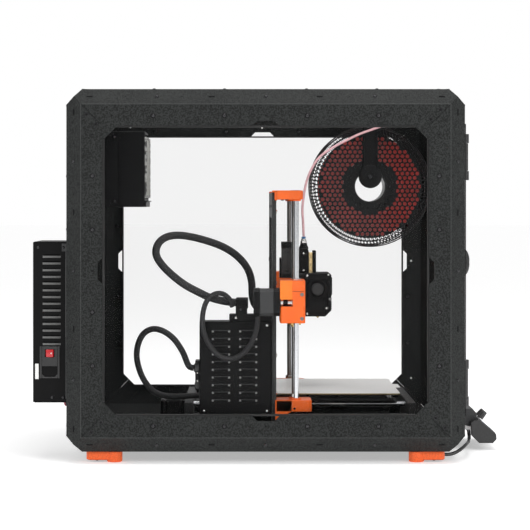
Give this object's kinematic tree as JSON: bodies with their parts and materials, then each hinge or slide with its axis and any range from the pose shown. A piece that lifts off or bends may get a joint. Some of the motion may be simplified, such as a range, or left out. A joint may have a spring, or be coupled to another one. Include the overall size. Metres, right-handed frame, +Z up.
{
  "type": "filament 3d printer in enclosure",
  "caption": "Moving-bed filament printer inside a framed enclosure with clear windows, a hinged front door, a rear power supply, an air filter, a hanging spool and a front menu unit.",
  "frame": {"origin": "on the ground, under the middle of the whole object's box without its cables", "axes": "+Z up; the door and menu unit face -Y; +X is to the right of someone facing the door"},
  "size_m": [0.5, 0.7318, 0.5706],
  "materials": {
    "coated_steel": "fine-texture charcoal powder coat",
    "clear_window": "clear polycarbonate sheet",
    "black_plastic": "printed black plastic, fine layer lines",
    "orange_plastic": "printed orange plastic",
    "chrome_rod": "ground and hardened",
    "screw_steel": "rolled thread, lightly oiled",
    "bed_surface": "light grey sheet, satin",
    "bed_black": "black coated aluminium",
    "rocker_red": "translucent red",
    "filter_white": "pleated filter paper",
    "spool_plastic": "black flanges with red filament",
    "cable_black": "black woven sleeve and rubber",
    "tube_pink": "translucent tube"
  },
  "bodies": {
    "enclosure": {"left_top_rail": "coated_steel", "left_bottom_rail": "coated_steel", "left_front_post": "coated_steel", "left_rear_post": "coated_steel", "right_top_rail": "coated_steel", "right_bottom_rail": "coated_steel", "right_front_post": "coated_steel", "right_rear_post": "coated_steel", "front_top_rail": "coated_steel", "front_bottom_rail": "coated_steel", "rear_top_rail": "coated_steel", "rear_bottom_rail": "coated_steel", "floor_panel": "coated_steel", "rear_panel": "coated_steel", "gate_frame": "coated_steel", "left_window": "clear_window", "right_window": "clear_window", "top_window": "clear_window", "left_front_foot": "orange_plastic", "left_rear_foot": "orange_plastic", "right_front_foot": "orange_plastic", "right_rear_foot": "orange_plastic", "left_z_top": "orange_plastic", "right_z_top": "orange_plastic", "left_z_bottom": "orange_plastic", "right_z_bottom": "orange_plastic", "upper_frame_hinge": "black_plastic", "lower_frame_hinge": "black_plastic", "filter_housing": "black_plastic", "spool_holder": "black_plastic", "display_housing": "black_plastic", "power_supply": "bed_black", "base_frame": "bed_black", "electronics_box": "bed_black", "left_z_rod": "chrome_rod", "right_z_rod": "chrome_rod", "filter_cartridge": "filter_white", "extruder_cable": "cable_black", "x_motor_cable": "cable_black", "bed_cable": "cable_black", "display_cable": "cable_black", "filament_tube": "tube_pink"},
    "door": {"door_panel": "clear_window", "door_handle": "black_plastic", "upper_door_hinge": "black_plastic", "lower_door_hinge": "black_plastic"},
    "rocker": {"power_rocker": "rocker_red"},
    "bed": {"bed_carriage": "bed_black", "heatbed": "bed_surface"},
    "left_screw": {"left_lead_screw": "screw_steel"},
    "right_screw": {"right_lead_screw": "screw_steel"},
    "gantry": {"x_end_motor": "orange_plastic", "x_end_idler": "orange_plastic", "upper_x_rod": "chrome_rod", "lower_x_rod": "chrome_rod"},
    "print_head": {"extruder": "black_plastic"},
    "head_knob": {"extruder_knob": "black_plastic"},
    "spool": {"filament_spool": "spool_plastic"},
    "encoder": {"encoder_shaft": "screw_steel"},
    "menu_knob": {"display_knob": "black_plastic"}
  },
  "joints": [
    {"name": "door_swing", "type": "hinge", "parent": "enclosure", "child": "door", "pos_m": [-0.2036, -0.30083, 0.293], "axis": [0, 0, -1], "range_deg": [0, 110]},
    {"name": "power_switch", "type": "hinge", "parent": "enclosure", "child": "rocker", "pos_m": [-0.197, 0.33987, 0.165], "axis": [0, 0, 1], "range_deg": [0, 16]},
    {"name": "bed_slide", "type": "slide", "parent": "enclosure", "child": "bed", "axis": [0, 1, 0], "range_m": [-0.08, 0.105], "deforming": ["bed_cable"]},
    {"name": "lift", "type": "slide", "parent": "enclosure", "child": "gantry", "axis": [0, 0, 1], "range_m": [-0.11, 0.1], "deforming": ["extruder_cable", "x_motor_cable", "filament_tube"]},
    {"name": "left_screw_turn", "type": "hinge", "parent": "enclosure", "child": "left_screw", "pos_m": [-0.163, -0.03753, 0.08], "axis": [0, 0, 1], "continuous": true},
    {"name": "right_screw_turn", "type": "hinge", "parent": "enclosure", "child": "right_screw", "pos_m": [0.163, -0.03753, 0.08], "axis": [0, 0, 1], "continuous": true},
    {"name": "head_slide", "type": "slide", "parent": "gantry", "child": "print_head", "axis": [1, 0, 0], "range_m": [-0.108, 0.117]},
    {"name": "head_knob_turn", "type": "hinge", "parent": "print_head", "child": "head_knob", "pos_m": [-0.04, -0.07843, 0.2565], "axis": [1, 0, 0], "continuous": true},
    {"name": "spool_turn", "type": "hinge", "parent": "enclosure", "child": "spool", "pos_m": [0.195, -0.17693, 0.4248], "axis": [1, 0, 0], "continuous": true},
    {"name": "encoder_push", "type": "slide", "parent": "enclosure", "child": "encoder", "axis": [0, 0.6508, -0.7593], "range_m": [0, 0.0009], "stiffness_N_per_m": 2500, "springref_m": -0.0002},
    {"name": "menu_knob_turn", "type": "hinge", "parent": "encoder", "child": "menu_knob", "pos_m": [0.05, -0.34963, 0.0379], "axis": [0, -0.6508, 0.7593], "continuous": true}
  ],
  "couplings": [
    {"joint": "left_screw_turn", "follows": "lift", "rad_per_m": -785.4},
    {"joint": "right_screw_turn", "follows": "lift", "rad_per_m": -785.4}
  ]
}
